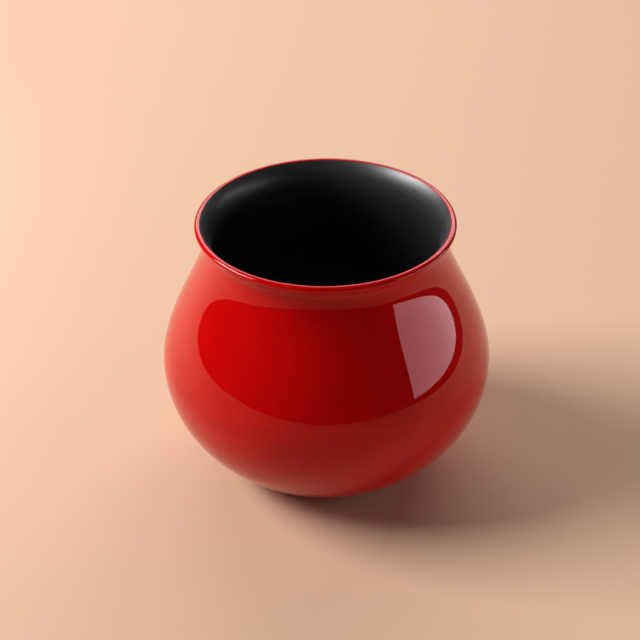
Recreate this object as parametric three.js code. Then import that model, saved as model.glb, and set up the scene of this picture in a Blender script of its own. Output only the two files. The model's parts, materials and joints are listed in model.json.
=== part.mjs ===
// A pot-bellied lacquered cup with a flared lip, built up in layers as such cups are made: a turned wooden
// core, cloth glued over the lip and the foot, ground coats that level the cloth, and coloured lacquer on
// top.
// Millimetres, +Z up, origin on the table at the centre of the foot.
import * as THREE from "three";

// Outer form
const OVERALL_HEIGHT = 75;
const BELLY_DIAMETER = 90;
const BELLY_HEIGHT = 32.5;
const LIP_DIAMETER = 69.5;
const LIP_OVERHANG = 2.4; // how far the lip stands out beyond the neck
const LIP_ROLL_WIDTH = 1.1; // from the crest of the lip out to its widest line
const LIP_ROLL_HEIGHT = 0.9; // from the crest of the lip down to its widest line
const FLARE_HEIGHT = 4.8; // from the crest of the lip down to the neck
const FLARE_ANGLE = 45; // degrees that the flare leans out from upright, where it meets the roll of the lip

// Foot
const FOOT_DIAMETER = 44; // where the foot's rounded edge meets the bowl
const FOOT_EDGE_RISE = 0.3; // height of that rounded edge
const FOOT_RING_WIDTH = 4; // from the ring's inner edge to the foot diameter
const COVE_WIDTH = 3; // the eased step from the ring into the recess
const RECESS_DEPTH = 1.5;

// Inside
const INNER_LIP_ROUND = 0.6; // radius of the edge on the mouth side of the crest
const INNER_LIP_ANGLE = 45; // degrees that the mouth leans out from upright, where it meets that edge
const MOUTH_DIAMETER = 61; // where the inside is narrowest
const MOUTH_DEPTH = 8; // from the crest of the lip down to there
const BELLY_WALL = 3.4; // from the outer face to the inner face
const FLOOR_HEIGHT = 5.5; // the inside floor above the table, at the centre

// Layers, from the surface inwards
const TOP_COAT = 0.12;
const GROUND_COAT = 0.25;
const CLOTH = 0.14; // lies on the core, inside the thickness of the ground coat
const BOND = 0.01; // the bond line between one layer and the next

// Handles of the eased curves, as shares of the distance between a curve's two ends
const BELLY_EASE = 0.33;
const NECK_EASE = 0.23;
const FLOOR_EASE = 0.55;
const FLARE_EASE = 0.35;
const COVE_EASE = 0.45;

// Facets: round the axis, and along each of the section's longer curves
const TURN_SEGMENTS = 36;
const BELLY_STEPS = 5; // the bowl, the shoulder and the inside of the bowl
const INNER_SHOULDER_STEPS = 4;
const LIP_STEPS = 3; // the flare, the roll of the lip and the mouth
const COVE_STEPS = 2;

// Places worked out from the sizes above
const bellyRadius = BELLY_DIAMETER / 2;
const lipRadius = LIP_DIAMETER / 2;
const neckRadius = lipRadius - LIP_OVERHANG;
const neckHeight = OVERALL_HEIGHT - FLARE_HEIGHT;
const mouthRadius = MOUTH_DIAMETER / 2;
const mouthHeight = OVERALL_HEIGHT - MOUTH_DEPTH;
const footRadius = FOOT_DIAMETER / 2;
const flareLean = THREE.MathUtils.degToRad(FLARE_ANGLE);
const innerLipLean = THREE.MathUtils.degToRad(INNER_LIP_ANGLE);

// The bowl is part of an ellipse centred on the axis at belly height, and starts where the foot's edge ends.
const footShare = footRadius / bellyRadius;
const bowlDrop = (BELLY_HEIGHT - FOOT_EDGE_RISE) / Math.sqrt(1 - footShare ** 2);
const bowlStart = -Math.acos(footShare);
const footSlope = Math.atan2(bowlDrop * Math.cos(bowlStart), -bellyRadius * Math.sin(bowlStart));
const footEdgeRadius = FOOT_EDGE_RISE / (1 - Math.cos(footSlope));

// The lip rolls over from the flare to its crest along part of an ellipse, and a small round turns it down
// into the mouth.
const crestRadius = lipRadius - LIP_ROLL_WIDTH;
const rollStart = -Math.atan((LIP_ROLL_HEIGHT / LIP_ROLL_WIDTH) * Math.tan(flareLean));
const crest = Math.PI / 2;
const innerRoundEnd = Math.PI - innerLipLean;

// Directions along the section, as (radius, height)
const OUT = new THREE.Vector2(1, 0);
const UP = new THREE.Vector2(0, 1);
const DOWN = new THREE.Vector2(0, -1);
const IN = new THREE.Vector2(-1, 0);
const flareUp = new THREE.Vector2(Math.sin(flareLean), Math.cos(flareLean));
const mouthDown = new THREE.Vector2(-Math.sin(innerLipLean), -Math.cos(innerLipLean));

// Points where the curves of the section meet
const point = (radius, height) => new THREE.Vector2(radius, height);
const ringInner = point(footRadius - FOOT_RING_WIDTH, 0);
const ringOuter = point(footRadius - footEdgeRadius * Math.sin(footSlope), 0);
const recessEdge = point(ringInner.x - COVE_WIDTH, RECESS_DEPTH);
const recessCentre = point(0, RECESS_DEPTH);
const belly = point(bellyRadius, BELLY_HEIGHT);
const neck = point(neckRadius, neckHeight);
const mouth = point(mouthRadius, mouthHeight);
const innerBelly = point(bellyRadius - BELLY_WALL, BELLY_HEIGHT);
const floorCentre = point(0, FLOOR_HEIGHT);

// A smooth curve that leaves one point and reaches another in given directions.
function easedCurve(from, leaving, leavingEase, to, arriving, arrivingEase) {
  const span = from.distanceTo(to);
  const leavingHandle = from.clone().addScaledVector(leaving, leavingEase * span);
  const arrivingHandle = to.clone().addScaledVector(arriving, -arrivingEase * span);
  return new THREE.CubicBezierCurve(from, leavingHandle, arrivingHandle, to);
}

const round = (x, y, radius, start, end) => new THREE.EllipseCurve(x, y, radius, radius, start, end);

// Stations along a curve: a place on the finished surface and the direction from there into the wall, which
// lies on the left of the way the section runs.
function stations(curve, steps = 1) {
  return Array.from({ length: steps + 1 }, (_, i) => {
    const along = curve.getTangent(i / steps);
    return { place: curve.getPoint(i / steps), inward: new THREE.Vector2(-along.y, along.x) };
  });
}

// The section of the finished cup, from the middle of the underside round the wall to the middle of the floor
const footRound = round(ringOuter.x, footEdgeRadius, footEdgeRadius, -Math.PI / 2, footSlope - Math.PI / 2);
const lipRoll = new THREE.EllipseCurve(
  crestRadius, OVERALL_HEIGHT - LIP_ROLL_HEIGHT, LIP_ROLL_WIDTH, LIP_ROLL_HEIGHT, rollStart, crest,
);
const innerRoundHeight = OVERALL_HEIGHT - INNER_LIP_ROUND;
const innerRound = round(crestRadius, innerRoundHeight, INNER_LIP_ROUND, crest, innerRoundEnd);
const rollFoot = lipRoll.getPoint(0);
const mouthEdge = innerRound.getPoint(1);
const recess = stations(new THREE.LineCurve(recessCentre, recessEdge));
const cove = stations(easedCurve(recessEdge, OUT, COVE_EASE, ringInner, OUT, COVE_EASE), COVE_STEPS);
const ring = stations(new THREE.LineCurve(ringInner, ringOuter));
const footEdge = stations(footRound);
const bowlCurve = new THREE.EllipseCurve(0, BELLY_HEIGHT, bellyRadius, bowlDrop, bowlStart, 0);
const bowl = stations(bowlCurve, BELLY_STEPS);
const shoulder = stations(easedCurve(belly, UP, BELLY_EASE, neck, UP, NECK_EASE), BELLY_STEPS);
const flare = stations(easedCurve(neck, UP, FLARE_EASE, rollFoot, flareUp, FLARE_EASE), LIP_STEPS);
const lipOuter = stations(lipRoll, LIP_STEPS);
const lipInner = stations(innerRound);
const mouthCurve = easedCurve(mouthEdge, mouthDown, FLARE_EASE, mouth, DOWN, FLARE_EASE);
const innerFlare = stations(mouthCurve, LIP_STEPS);
const innerShoulderCurve = easedCurve(mouth, DOWN, NECK_EASE, innerBelly, DOWN, BELLY_EASE);
const innerShoulder = stations(innerShoulderCurve, INNER_SHOULDER_STEPS);
const innerBowlCurve = easedCurve(innerBelly, DOWN, BELLY_EASE, floorCentre, IN, FLOOR_EASE);
const innerBowl = stations(innerBowlCurve, BELLY_STEPS);

// Depths of the layers' faces below the finished surface
const groundFront = TOP_COAT + BOND;
const groundBack = groundFront + GROUND_COAT;
const clothFront = groundBack - CLOTH;
const groundOverCloth = clothFront - BOND;
const coreFront = groundBack + BOND;

// The points of a run of stretches, at one depth below the finished surface. A point on the axis stays on it.
const onAxis = ({ x }) => Math.abs(x) < BOND;
function face(stretches, depth) {
  const run = stretches.flatMap((stretch, i) => (i === 0 ? stretch : stretch.slice(1)));
  return run.map(({ place, inward }) => {
    const shifted = place.clone().addScaledVector(inward, depth);
    return onAxis(place) ? shifted.setX(0) : shifted;
  });
}

// One layer turned about the axis, between its front face and its back face. Its outline starts and ends on
// the axis, or closes on itself.
function turned(front, back) {
  const backwards = [...back].reverse();
  const outline = onAxis(front.at(-1)) ? [...backwards, ...front] : [...front, ...backwards];
  if (!onAxis(outline[0])) outline.push(outline[0].clone());
  return new THREE.LatheGeometry(outline, TURN_SEGMENTS);
}

const cup = new THREE.Group();
const upright = new THREE.Group(); // the lathe turns about +Y, and the cup stands along +Z
upright.rotation.x = Math.PI / 2;
cup.add(upright);

function addPiece(name, geometry, material) {
  const piece = new THREE.Mesh(geometry, new THREE.MeshStandardMaterial(material));
  piece.name = name;
  upright.add(piece);
}

// Materials
const wood = { color: 0xc49a6c, roughness: 0.7, metalness: 0 };
const hemp = { color: 0xb7a27c, roughness: 0.95, metalness: 0 };
const ground = { color: 0x4d3f35, roughness: 0.85, metalness: 0 };
const redLacquer = { color: 0xa8060a, roughness: 0.06, metalness: 0 };
const blackLacquer = { color: 0x0b0b0d, roughness: 0.4, metalness: 0 };

// Wooden core
const underside = [recess, cove, ring, footEdge];
const outside = [bowl, shoulder, flare, lipOuter];
const inside = [innerFlare, innerShoulder, innerBowl];
const wholeSection = [...underside, ...outside, lipInner, ...inside];
addPiece("wood_core", new THREE.LatheGeometry(face(wholeSection, coreFront), TURN_SEGMENTS), wood);

// Cloth bands
const rimCloth = [flare, lipOuter, lipInner, innerFlare];
const footCloth = [cove, ring, footEdge];
addPiece("rim_cloth_band", turned(face(rimCloth, clothFront), face(rimCloth, groundBack)), hemp);
addPiece("foot_cloth_band", turned(face(footCloth, clothFront), face(footCloth, groundBack)), hemp);

// Ground coats, thinner where they cover the cloth and split at the crest of the lip
const outerGroundFront = face([...underside, ...outside], groundFront);
const outerGroundBack = [
  ...face([recess], groundBack),
  ...face(footCloth, groundOverCloth),
  ...face([bowl, shoulder], groundBack),
  ...face([flare, lipOuter], groundOverCloth),
];
addPiece("outer_ground_coat", turned(outerGroundFront, outerGroundBack), ground);
const innerGroundFront = face([lipInner, ...inside], groundFront);
const innerGroundBack = [
  ...face([lipInner, innerFlare], groundOverCloth),
  ...face([innerShoulder, innerBowl], groundBack),
];
addPiece("inner_ground_coat", turned(innerGroundFront, innerGroundBack), ground);

// Lacquer: red from the foot's edge up over the crest of the lip, black from there inside and under the foot
const redFace = [...outside, lipInner];
addPiece("red_outer_coat", turned(face(redFace, 0), face(redFace, TOP_COAT)), redLacquer);
addPiece("black_inner_coat", turned(face(inside, 0), face(inside, TOP_COAT)), blackLacquer);
addPiece("black_foot_coat", turned(face(underside, 0), face(underside, TOP_COAT)), blackLacquer);

export default cup;
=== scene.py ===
"""A lacquered pot-bellied cup, glossy red outside and over the lip, satin black inside.

The solids of the cup are its frame. Each of its layers is turned again here with a finer section,
so that the gloss shows no facets, and gets its own material. Metres, +Z up, with the
photograph's viewer on the -Y side.
"""
import json
import math

import bpy
import numpy as np
from mathutils import Matrix, Vector


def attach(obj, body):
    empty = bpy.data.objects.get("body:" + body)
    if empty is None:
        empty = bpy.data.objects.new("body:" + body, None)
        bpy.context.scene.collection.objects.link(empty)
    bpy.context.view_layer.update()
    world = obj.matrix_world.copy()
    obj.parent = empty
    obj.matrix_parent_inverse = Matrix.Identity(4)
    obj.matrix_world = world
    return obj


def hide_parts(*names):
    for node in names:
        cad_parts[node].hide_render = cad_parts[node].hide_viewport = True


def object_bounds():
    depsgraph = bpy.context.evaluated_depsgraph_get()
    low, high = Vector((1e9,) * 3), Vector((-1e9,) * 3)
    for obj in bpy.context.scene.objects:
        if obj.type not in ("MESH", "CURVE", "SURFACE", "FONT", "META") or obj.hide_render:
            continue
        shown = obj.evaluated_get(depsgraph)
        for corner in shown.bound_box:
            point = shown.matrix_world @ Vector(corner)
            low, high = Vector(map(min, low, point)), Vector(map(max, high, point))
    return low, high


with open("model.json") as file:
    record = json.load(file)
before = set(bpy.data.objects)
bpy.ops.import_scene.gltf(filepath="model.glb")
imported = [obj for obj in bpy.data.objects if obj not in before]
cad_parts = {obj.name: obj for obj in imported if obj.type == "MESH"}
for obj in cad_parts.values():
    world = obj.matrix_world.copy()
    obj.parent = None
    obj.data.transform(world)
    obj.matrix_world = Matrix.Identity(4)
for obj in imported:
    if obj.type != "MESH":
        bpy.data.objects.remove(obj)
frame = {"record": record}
cad_low, cad_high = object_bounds()

MM = 0.001

# The finished section, with the sizes of the solids
OVERALL_HEIGHT = cad_high.z - cad_low.z
BELLY_RADIUS = (cad_high.x - cad_low.x) / 2
BELLY_HEIGHT = 32.5 * MM
LIP_RADIUS = 34.75 * MM
LIP_OVERHANG = 2.4 * MM
LIP_ROLL_WIDTH = 1.1 * MM
LIP_ROLL_HEIGHT = 0.9 * MM
FLARE_HEIGHT = 4.8 * MM
FLARE_LEAN = math.radians(45)
FOOT_RADIUS = 22 * MM
FOOT_EDGE_RISE = 0.3 * MM
FOOT_RING_WIDTH = 4 * MM
COVE_WIDTH = 3 * MM
RECESS_DEPTH = 1.5 * MM
INNER_LIP_ROUND = 0.6 * MM
INNER_LIP_LEAN = math.radians(45)
MOUTH_RADIUS = 30.5 * MM
MOUTH_DEPTH = 8 * MM
BELLY_WALL = 3.4 * MM
FLOOR_HEIGHT = 5.5 * MM

# The layers, from the surface inwards
TOP_COAT = 0.12 * MM
GROUND_COAT = 0.25 * MM
CLOTH = 0.14 * MM
BOND = 0.01 * MM

# Handles of the eased curves, as shares of the distance between a curve's ends
BELLY_EASE = 0.33
NECK_EASE = 0.23
FLOOR_EASE = 0.55
FLARE_EASE = 0.35
COVE_EASE = 0.45

# Steps round the axis, for layers that show and for those inside the wall
SEEN_TURN = 192
HIDDEN_TURN = 96

# Steps along the stretches of the section
RECESS_STEPS = 6
COVE_STEPS = 12
RING_STEPS = 3
FOOT_EDGE_STEPS = 5
BOWL_STEPS = 44
SHOULDER_STEPS = 44
FLARE_STEPS = 14
LIP_STEPS = 16
INNER_ROUND_STEPS = 6
INNER_FLARE_STEPS = 18
INNER_SHOULDER_STEPS = 36
INNER_BOWL_STEPS = 44

# Edges that turn by more than this stay sharp in the shading
SHARP_EDGE = math.radians(40)

OUT, IN = np.array((1.0, 0.0)), np.array((-1.0, 0.0))
UP, DOWN = np.array((0.0, 1.0)), np.array((0.0, -1.0))


# Section curves: each gives its places and the directions from there into the wall, on the left of its run

def with_inward(places, along):
    along = along / np.linalg.norm(along, axis=1, keepdims=True)
    return places, np.stack((-along[:, 1], along[:, 0]), axis=1)


def line(start, end, steps=1):
    t = np.linspace(0, 1, steps + 1)[:, None]
    return with_inward(start + t * (end - start), np.repeat((end - start)[None], steps + 1, axis=0))


def ellipse(centre, radii, start, end, steps):
    angle = np.linspace(start, end, steps + 1)
    places = centre + np.stack((radii[0] * np.cos(angle), radii[1] * np.sin(angle)), axis=1)
    along = np.stack((-radii[0] * np.sin(angle), radii[1] * np.cos(angle)), axis=1)
    return with_inward(places, along * np.sign(end - start))


def eased(start, leaving, leaving_ease, end, arriving, arriving_ease, steps):
    span = np.linalg.norm(end - start)
    first = start + leaving * leaving_ease * span
    second = end - arriving * arriving_ease * span
    t = np.linspace(0, 1, steps + 1)[:, None]
    s = 1 - t
    places = s**3 * start + 3 * s**2 * t * first + 3 * s * t**2 * second + t**3 * end
    along = s**2 * (first - start) + 2 * s * t * (second - first) + t**2 * (end - second)
    return with_inward(places, along)


def point(radius, height):
    return np.array((radius, height))


foot_share = FOOT_RADIUS / BELLY_RADIUS
bowl_drop = (BELLY_HEIGHT - FOOT_EDGE_RISE) / math.sqrt(1 - foot_share**2)
bowl_start = -math.acos(foot_share)
foot_slope = math.atan2(bowl_drop * math.cos(bowl_start), -BELLY_RADIUS * math.sin(bowl_start))
foot_edge_radius = FOOT_EDGE_RISE / (1 - math.cos(foot_slope))

roll_radii = (LIP_ROLL_WIDTH, LIP_ROLL_HEIGHT)
roll_centre = point(LIP_RADIUS - LIP_ROLL_WIDTH, OVERALL_HEIGHT - LIP_ROLL_HEIGHT)
roll_start = -math.atan(LIP_ROLL_HEIGHT / LIP_ROLL_WIDTH * math.tan(FLARE_LEAN))
lip_top = math.pi / 2
inner_lip_end = math.pi - INNER_LIP_LEAN
flare_up = point(math.sin(FLARE_LEAN), math.cos(FLARE_LEAN))
inner_lip_down = -point(math.sin(INNER_LIP_LEAN), math.cos(INNER_LIP_LEAN))

ring_inner = point(FOOT_RADIUS - FOOT_RING_WIDTH, 0)
ring_outer = point(FOOT_RADIUS - foot_edge_radius * math.sin(foot_slope), 0)
recess_edge = point(ring_inner[0] - COVE_WIDTH, RECESS_DEPTH)
belly = point(BELLY_RADIUS, BELLY_HEIGHT)
neck = point(LIP_RADIUS - LIP_OVERHANG, OVERALL_HEIGHT - FLARE_HEIGHT)
mouth = point(MOUTH_RADIUS, OVERALL_HEIGHT - MOUTH_DEPTH)
inner_belly = point(BELLY_RADIUS - BELLY_WALL, BELLY_HEIGHT)

recess = line(point(0, RECESS_DEPTH), recess_edge, RECESS_STEPS)
cove = eased(recess_edge, OUT, COVE_EASE, ring_inner, OUT, COVE_EASE, COVE_STEPS)
ring = line(ring_inner, ring_outer, RING_STEPS)
lowest = -math.pi / 2
edge_centre = point(ring_outer[0], foot_edge_radius)
edge_radii = (foot_edge_radius, foot_edge_radius)
foot_edge = ellipse(edge_centre, edge_radii, lowest, foot_slope + lowest, FOOT_EDGE_STEPS)
bowl = ellipse(point(0, BELLY_HEIGHT), (BELLY_RADIUS, bowl_drop), bowl_start, 0, BOWL_STEPS)
shoulder = eased(belly, UP, BELLY_EASE, neck, UP, NECK_EASE, SHOULDER_STEPS)
lip_outer = ellipse(roll_centre, roll_radii, roll_start, lip_top, LIP_STEPS)
flare = eased(neck, UP, FLARE_EASE, lip_outer[0][0], flare_up, FLARE_EASE, FLARE_STEPS)
inner_round_centre = point(roll_centre[0], OVERALL_HEIGHT - INNER_LIP_ROUND)
inner_radii = (INNER_LIP_ROUND, INNER_LIP_ROUND)
lip_inner = ellipse(inner_round_centre, inner_radii, lip_top, inner_lip_end, INNER_ROUND_STEPS)
inner_flare = eased(
    lip_inner[0][-1], inner_lip_down, FLARE_EASE, mouth, DOWN, FLARE_EASE, INNER_FLARE_STEPS
)
inner_shoulder = eased(
    mouth, DOWN, NECK_EASE, inner_belly, DOWN, BELLY_EASE, INNER_SHOULDER_STEPS
)
inner_floor = point(0, FLOOR_HEIGHT)
inner_bowl = eased(inner_belly, DOWN, BELLY_EASE, inner_floor, IN, FLOOR_EASE, INNER_BOWL_STEPS)


def face(stretches, depth):
    """The points of a run of stretches, at one depth below the finished surface."""
    runs = [places + depth * inward for places, inward in stretches]
    return np.concatenate([runs[0]] + [run[1:] for run in runs[1:]])


# Layers as (front face, back face), each running the way of the section

GROUND_FRONT = TOP_COAT + BOND
GROUND_BACK = GROUND_FRONT + GROUND_COAT
CLOTH_FRONT = GROUND_BACK - CLOTH
GROUND_OVER_CLOTH = CLOTH_FRONT - BOND
CORE_FRONT = GROUND_BACK + BOND

under = [recess, cove, ring, foot_edge]
outside = [bowl, shoulder, flare, lip_outer]
inside = [inner_flare, inner_shoulder, inner_bowl]
rim_cloth = [flare, lip_outer, lip_inner, inner_flare]
foot_cloth = [cove, ring, foot_edge]

outer_ground_back = np.concatenate((
    face([recess], GROUND_BACK),
    face(foot_cloth, GROUND_OVER_CLOTH),
    face([bowl, shoulder], GROUND_BACK),
    face([flare, lip_outer], GROUND_OVER_CLOTH),
))
inner_ground_back = np.concatenate((
    face([lip_inner, inner_flare], GROUND_OVER_CLOTH),
    face([inner_shoulder, inner_bowl], GROUND_BACK),
))
LAYERS = {
    "rim_cloth_band": (face(rim_cloth, CLOTH_FRONT), face(rim_cloth, GROUND_BACK)),
    "foot_cloth_band": (face(foot_cloth, CLOTH_FRONT), face(foot_cloth, GROUND_BACK)),
    "outer_ground_coat": (face(under + outside, GROUND_FRONT), outer_ground_back),
    "inner_ground_coat": (face([lip_inner] + inside, GROUND_FRONT), inner_ground_back),
    "red_outer_coat": (face(outside + [lip_inner], 0), face(outside + [lip_inner], TOP_COAT)),
    "black_inner_coat": (face(inside, 0), face(inside, TOP_COAT)),
    "black_foot_coat": (face(under, 0), face(under, TOP_COAT)),
}


def on_axis(place):
    return abs(place[0]) < BOND


def closed_outline(front, back):
    """A layer's outline, from axis to axis or round to its own start, which isn't repeated."""
    backwards = back[::-1]
    return np.concatenate((backwards, front) if on_axis(front[-1]) else (front, backwards))


outlines = {name: closed_outline(*faces) for name, faces in LAYERS.items()}
outlines["wood_core"] = face(under + outside + [lip_inner] + inside, CORE_FRONT)


def turned(name, outline, steps):
    """A closed mesh from an outline turned about the axis. A point on the axis becomes one pole."""
    angles = np.arange(steps) * 2 * math.pi / steps
    vertices, rings = [], []
    for radius, height in outline:
        first = len(vertices)
        if on_axis((radius, height)):
            vertices.append((0.0, 0.0, height))
            rings.append([first] * steps)
        else:
            vertices += [(radius * math.cos(a), radius * math.sin(a), height) for a in angles]
            rings.append(list(range(first, first + steps)))
    pairs = list(zip(rings, rings[1:]))
    if not on_axis(outline[0]):
        pairs.append((rings[-1], rings[0]))
    faces = []
    for low, high in pairs:
        for i in range(steps):
            j = (i + 1) % steps
            corners = dict.fromkeys((low[i], low[j], high[j], high[i]))
            if len(corners) > 2:
                faces.append(tuple(corners))
    mesh = bpy.data.meshes.new(name)
    mesh.from_pydata(vertices, [], faces)
    mesh.shade_smooth()
    mesh.set_sharp_from_angle(angle=SHARP_EDGE)
    piece = bpy.data.objects.new(name, mesh)
    bpy.context.scene.collection.objects.link(piece)
    return piece


# Materials

class Shader:
    """A material's node tree with short calls to build it."""

    def __init__(self, name, base_color, roughness, **sockets):
        self.material = bpy.data.materials.new(name)
        self.material.use_nodes = True
        self.nodes = self.material.node_tree.nodes
        self.links = self.material.node_tree.links
        self.surface = self.nodes["Principled BSDF"]
        self.set("Base Color", (*base_color, 1.0))
        self.set("Roughness", roughness)
        for socket, value in sockets.items():
            self.set(socket.replace("_", " "), value)

    def set(self, socket, value):
        target = self.surface.inputs[socket]
        if isinstance(value, bpy.types.NodeSocket):
            self.links.new(value, target)
        else:
            target.default_value = value

    def node(self, kind, settings=None, **inputs):
        made = self.nodes.new(kind)
        for key, value in (settings or {}).items():
            setattr(made, key, value)
        for key, value in inputs.items():
            numbered = key[0] == "i" and key[1:].isdigit()
            slot = made.inputs[int(key[1:]) if numbered else key.replace("_", " ")]
            if isinstance(value, bpy.types.NodeSocket):
                self.links.new(value, slot)
            else:
                slot.default_value = value
        return made

    def place(self):
        return self.node("ShaderNodeTexCoord").outputs["Object"]

    def math(self, operation, a, b=0.0, clamp=False):
        settings = {"operation": operation, "use_clamp": clamp}
        return self.node("ShaderNodeMath", settings, i0=a, i1=b).outputs[0]

    def round_place(self, across, along):
        """Coordinates that run round the axis and up, scaled, for marks left by turning and brushing."""
        split = self.node("ShaderNodeSeparateXYZ", Vector=self.place())
        angle = self.math("ARCTAN2", split.outputs["Y"], split.outputs["X"])
        x = self.math("MULTIPLY", self.math("COSINE", angle), across)
        y = self.math("MULTIPLY", self.math("SINE", angle), across)
        z = self.math("MULTIPLY", split.outputs["Z"], along)
        return self.node("ShaderNodeCombineXYZ", X=x, Y=y, Z=z).outputs[0]

    def noise(self, scale, detail=2.0, vector=None, roughness=0.5):
        return self.node(
            "ShaderNodeTexNoise", Vector=vector or self.place(),
            Scale=scale, Detail=detail, Roughness=roughness,
        ).outputs["Fac"]

    def ramp(self, factor, low, high, low_value=0.0, high_value=1.0):
        return self.node(
            "ShaderNodeMapRange", {"interpolation_type": "SMOOTHSTEP"},
            Value=factor, From_Min=low, From_Max=high, To_Min=low_value, To_Max=high_value,
        ).outputs["Result"]

    def mix(self, factor, low, high):
        made = self.node("ShaderNodeMix", {"data_type": "RGBA"}, i0=factor)
        for slot, value in ((6, low), (7, high)):
            if isinstance(value, bpy.types.NodeSocket):
                self.links.new(value, made.inputs[slot])
            else:
                made.inputs[slot].default_value = (*value, 1.0)
        return made.outputs[2]

    def bump(self, height, distance, before=None):
        inputs = {"Height": height, "Distance": distance, "Strength": 1.0}
        if before is not None:
            inputs["Normal"] = before
        return self.node("ShaderNodeBump", **inputs).outputs["Normal"]


RED = (0.53, 0.0011, 0.0013)
RED_DEEP = (0.46, 0.0008, 0.001)
BLACK = (0.011, 0.0108, 0.0125)
BLACK_WARM = (0.016, 0.0145, 0.015)
GROUND_TONE = (0.09, 0.07, 0.055)
GROUND_DARK = (0.06, 0.047, 0.038)
WOOD_PALE = (0.5, 0.31, 0.16)
WOOD_DARK = (0.33, 0.18, 0.08)
HEMP_PALE = (0.47, 0.38, 0.24)
HEMP_DARK = (0.27, 0.2, 0.12)

RED_ROUGHNESS = 0.03
RED_IOR = 1.6
RED_SPECULAR = (0.5, 0.3, 0.3, 1.0)
SATIN_LOW = 0.4
SATIN_HIGH = 0.47
SATIN_SPECULAR = 1.0


def red_lacquer():
    s = Shader("red_lacquer", RED, RED_ROUGHNESS, IOR=RED_IOR, Specular_Tint=RED_SPECULAR)
    strokes = s.noise(1.0, 3.0, s.round_place(3.0, 420.0))
    clouds = s.noise(38.0, 2.0)
    depth = s.math("ADD", s.math("MULTIPLY", strokes, 0.35), s.math("MULTIPLY", clouds, 0.65))
    s.set("Base Color", s.mix(s.ramp(depth, 0.35, 0.68), RED_DEEP, RED))
    flow = s.bump(s.noise(70.0, 1.0), 0.012 * MM)
    skin = s.bump(s.noise(520.0, 2.0), 0.0008 * MM, flow)
    s.set("Normal", skin)
    return s.material


def black_lacquer(name, worn_ring=False):
    s = Shader(name, BLACK, SATIN_LOW, Specular_IOR_Level=SATIN_SPECULAR)
    turning = s.noise(1.0, 4.0, s.round_place(2.0, 900.0), 0.6)
    clouds = s.noise(60.0, 3.0)
    color = s.mix(s.ramp(clouds, 0.3, 0.75), BLACK, BLACK_WARM)
    roughness = s.ramp(turning, 0.25, 0.75, SATIN_LOW, SATIN_HIGH)
    if worn_ring:
        height = s.node("ShaderNodeSeparateXYZ", Vector=s.place()).outputs["Z"]
        low = s.ramp(height, 0.02 * MM, 0.12 * MM, 1.0, 0.0)
        scuffs = s.ramp(s.noise(900.0, 5.0, roughness=0.7), 0.52, 0.7)
        worn = s.math("MULTIPLY", low, scuffs, clamp=True)
        color = s.mix(worn, color, GROUND_TONE)
        roughness = s.math("ADD", roughness, s.math("MULTIPLY", worn, 0.25))
    s.set("Base Color", color)
    s.set("Roughness", roughness)
    grain = s.bump(s.noise(1400.0, 2.0), 0.002 * MM)
    s.set("Normal", s.bump(turning, 0.004 * MM, grain))
    return s.material


def ground():
    s = Shader("ground", GROUND_TONE, 0.85)
    grit = s.noise(1600.0, 4.0)
    s.set("Base Color", s.mix(s.ramp(grit, 0.35, 0.7), GROUND_DARK, GROUND_TONE))
    s.set("Normal", s.bump(grit, 0.02 * MM))
    return s.material


def wood():
    s = Shader("wood", WOOD_PALE, 0.65)
    place = s.node(
        "ShaderNodeMapping", Vector=s.place(), Location=(0.0, 0.11, 0.07), Scale=(0.12, 1.0, 1.0)
    ).outputs[0]
    wander = s.noise(30.0, 3.0, place)
    rings = s.node(
        "ShaderNodeTexWave", {"wave_type": "RINGS", "rings_direction": "X"},
        Vector=place, Scale=120.0, Distortion=3.0, Detail=3.0, Detail_Scale=1.5,
    ).outputs["Fac"]
    along_grain = s.node("ShaderNodeMapping", Vector=s.place(), Scale=(180.0, 2600.0, 2600.0))
    pores = s.noise(1.0, 2.0, along_grain.outputs[0])
    figure = s.math("ADD", s.math("MULTIPLY", rings, 0.7), s.math("MULTIPLY", wander, 0.3))
    color = s.mix(s.ramp(figure, 0.2, 0.85), WOOD_PALE, WOOD_DARK)
    s.set("Base Color", s.mix(s.ramp(pores, 0.6, 0.72), color, WOOD_DARK))
    s.set("Normal", s.bump(pores, 0.03 * MM))
    return s.material


def hemp_cloth():
    s = Shader("hemp_cloth", HEMP_PALE, 0.95, Sheen_Weight=0.2)
    split = s.node("ShaderNodeSeparateXYZ", Vector=s.place())
    angle = s.math("ARCTAN2", split.outputs["Y"], split.outputs["X"])
    warp = s.math("ABSOLUTE", s.math("SINE", s.math("MULTIPLY", angle, 130.0)))
    weft = s.math("ABSOLUTE", s.math("SINE", s.math("MULTIPLY", split.outputs["Z"], 3900.0)))
    slubs = s.noise(220.0, 3.0)
    weave = s.math("MULTIPLY", s.math("ADD", warp, weft), s.ramp(slubs, 0.2, 0.8, 0.7, 1.0))
    s.set("Base Color", s.mix(s.ramp(weave, 0.3, 1.6), HEMP_DARK, HEMP_PALE))
    s.set("Normal", s.bump(weave, 0.08 * MM))
    return s.material


MATERIALS = {
    "red_lacquer": red_lacquer(),
    "black_lacquer": black_lacquer("black_lacquer"),
    "foot_lacquer": black_lacquer("foot_lacquer", worn_ring=True),
    "ground": ground(),
    "wood": wood(),
    "hemp_cloth": hemp_cloth(),
}
SLOTS = {row["node"]: row["material_slot"] for row in frame["record"]["subparts"]}

# Pieces: each layer takes the place of its own node

for node, outline in outlines.items():
    steps = SEEN_TURN if "lacquer" in SLOTS[node] else HIDDEN_TURN
    piece = turned("turned_" + node, outline, steps)
    piece.data.materials.append(MATERIALS[SLOTS[node]])
    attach(piece, "root")
    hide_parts(node)

# Stage: a pale table top that ends in front of the cup, in a dim room

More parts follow.
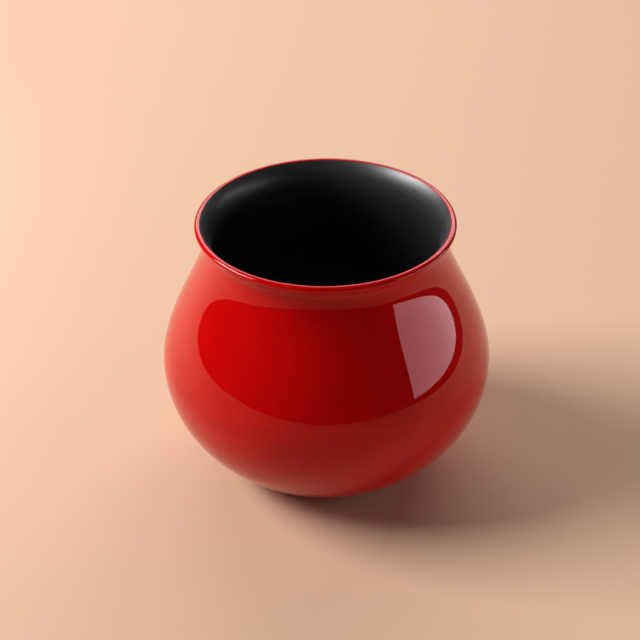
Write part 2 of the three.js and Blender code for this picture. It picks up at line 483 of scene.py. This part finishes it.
TABLE_LOW = (-0.7, -0.43)
TABLE_HIGH = (0.36, 0.7)
TABLE_THICKNESS = 0.03
TABLE_COLOR = (0.66, 0.44, 0.3)
TABLE_ROUGHNESS = 0.8
TABLE_SPECULAR = 0.05


def block(name, low, high, material):
    plan = (low[:2], (high[0], low[1]), high[:2], (low[0], high[1]))
    corners = [(x, y, z) for z in (low[2], high[2]) for x, y in plan]
    sides = [(0, 3, 2, 1), (4, 5, 6, 7), (0, 1, 5, 4), (1, 2, 6, 5), (2, 3, 7, 6), (3, 0, 4, 7)]
    mesh = bpy.data.meshes.new(name)
    mesh.from_pydata(corners, [], sides)
    mesh.materials.append(material)
    piece = bpy.data.objects.new(name, mesh)
    bpy.context.scene.collection.objects.link(piece)


table = Shader("table", TABLE_COLOR, TABLE_ROUGHNESS, Specular_IOR_Level=TABLE_SPECULAR).material
block("floor", (*TABLE_LOW, -TABLE_THICKNESS), (*TABLE_HIGH, 0.0), table)

DAYLIGHT = (1.0, 0.985, 1.0)
SHADE = (0.97, 0.95, 1.0)


def soft_light(name, size, place, target, watts, color=DAYLIGHT, spread=math.pi):
    data = bpy.data.lights.new(name, "AREA")
    data.shape = "RECTANGLE"
    data.size, data.size_y = size
    data.energy = watts
    data.color = color
    data.spread = spread
    light = bpy.data.objects.new(name, data)
    light.location = place
    light.rotation_euler = (Vector(target) - Vector(place)).to_track_quat("-Z", "Y").to_euler()
    light.visible_camera = False
    bpy.context.scene.collection.objects.link(light)


# A window on the left, its pool of light on the table, and dim panels behind and on the right
AIM = (0.0, 0.0, 0.04)
POOL = (-0.28, 0.09, 0.0)
POOL_LAMP = (-0.28, 0.09, 0.35)
POOL_SPREAD = math.radians(34)
SIDE_AIM = (0.0, -0.05, 0.0825)
SIDE_LAMP = (0.42, -0.05, 0.0825)
ROOM_COLOR = (0.04, 0.04, 0.04, 1.0)

soft_light("window", size=(0.66, 0.36), place=(-0.86, 0.05, 0.72), target=AIM, watts=16.8)
soft_light("table_light", size=(0.26, 0.22), place=POOL_LAMP, target=POOL, watts=0.1, spread=POOL_SPREAD)
soft_light("back_panel", size=(1.6, 0.6), place=(0.1, 1.0, 0.75), target=AIM, watts=11.0)
soft_light("side_panel", size=(0.45, 0.125), place=SIDE_LAMP, target=SIDE_AIM, watts=0.66, color=SHADE)

world = bpy.data.worlds.new("room")
world.use_nodes = True
room = world.node_tree.nodes["Background"]
room.inputs["Color"].default_value = ROOM_COLOR
room.inputs["Strength"].default_value = 1.0
bpy.context.scene.world = world

# Camera: the photograph's place, found by fitting the cup's outline

FOCAL_PIXELS = 1800
FRAME_PIXELS = 640
SENSOR = 36.0
VIEW_DOWN = math.radians(33.2)
VIEW_ROLL = math.radians(0.57)
VIEW_DISTANCE = 493.3 * MM
VIEW_TARGET = Vector((-1.695, 0.0, 43.1)) * MM

forward = Vector((0.0, math.cos(VIEW_DOWN), -math.sin(VIEW_DOWN)))
level_right = Vector((1.0, 0.0, 0.0))
level_up = level_right.cross(forward)
right = math.cos(VIEW_ROLL) * level_right - math.sin(VIEW_ROLL) * level_up
up = math.cos(VIEW_ROLL) * level_up + math.sin(VIEW_ROLL) * level_right
camera_data = bpy.data.cameras.new("camera")
camera_data.sensor_width = SENSOR
camera_data.lens = FOCAL_PIXELS / FRAME_PIXELS * SENSOR
camera = bpy.data.objects.new("camera", camera_data)
turn = Matrix((right, up, -forward)).transposed().to_4x4()
camera.matrix_world = Matrix.Translation(VIEW_TARGET - VIEW_DISTANCE * forward) @ turn
bpy.context.scene.collection.objects.link(camera)
bpy.context.scene.camera = camera
bpy.context.scene.view_settings.view_transform = "Standard"
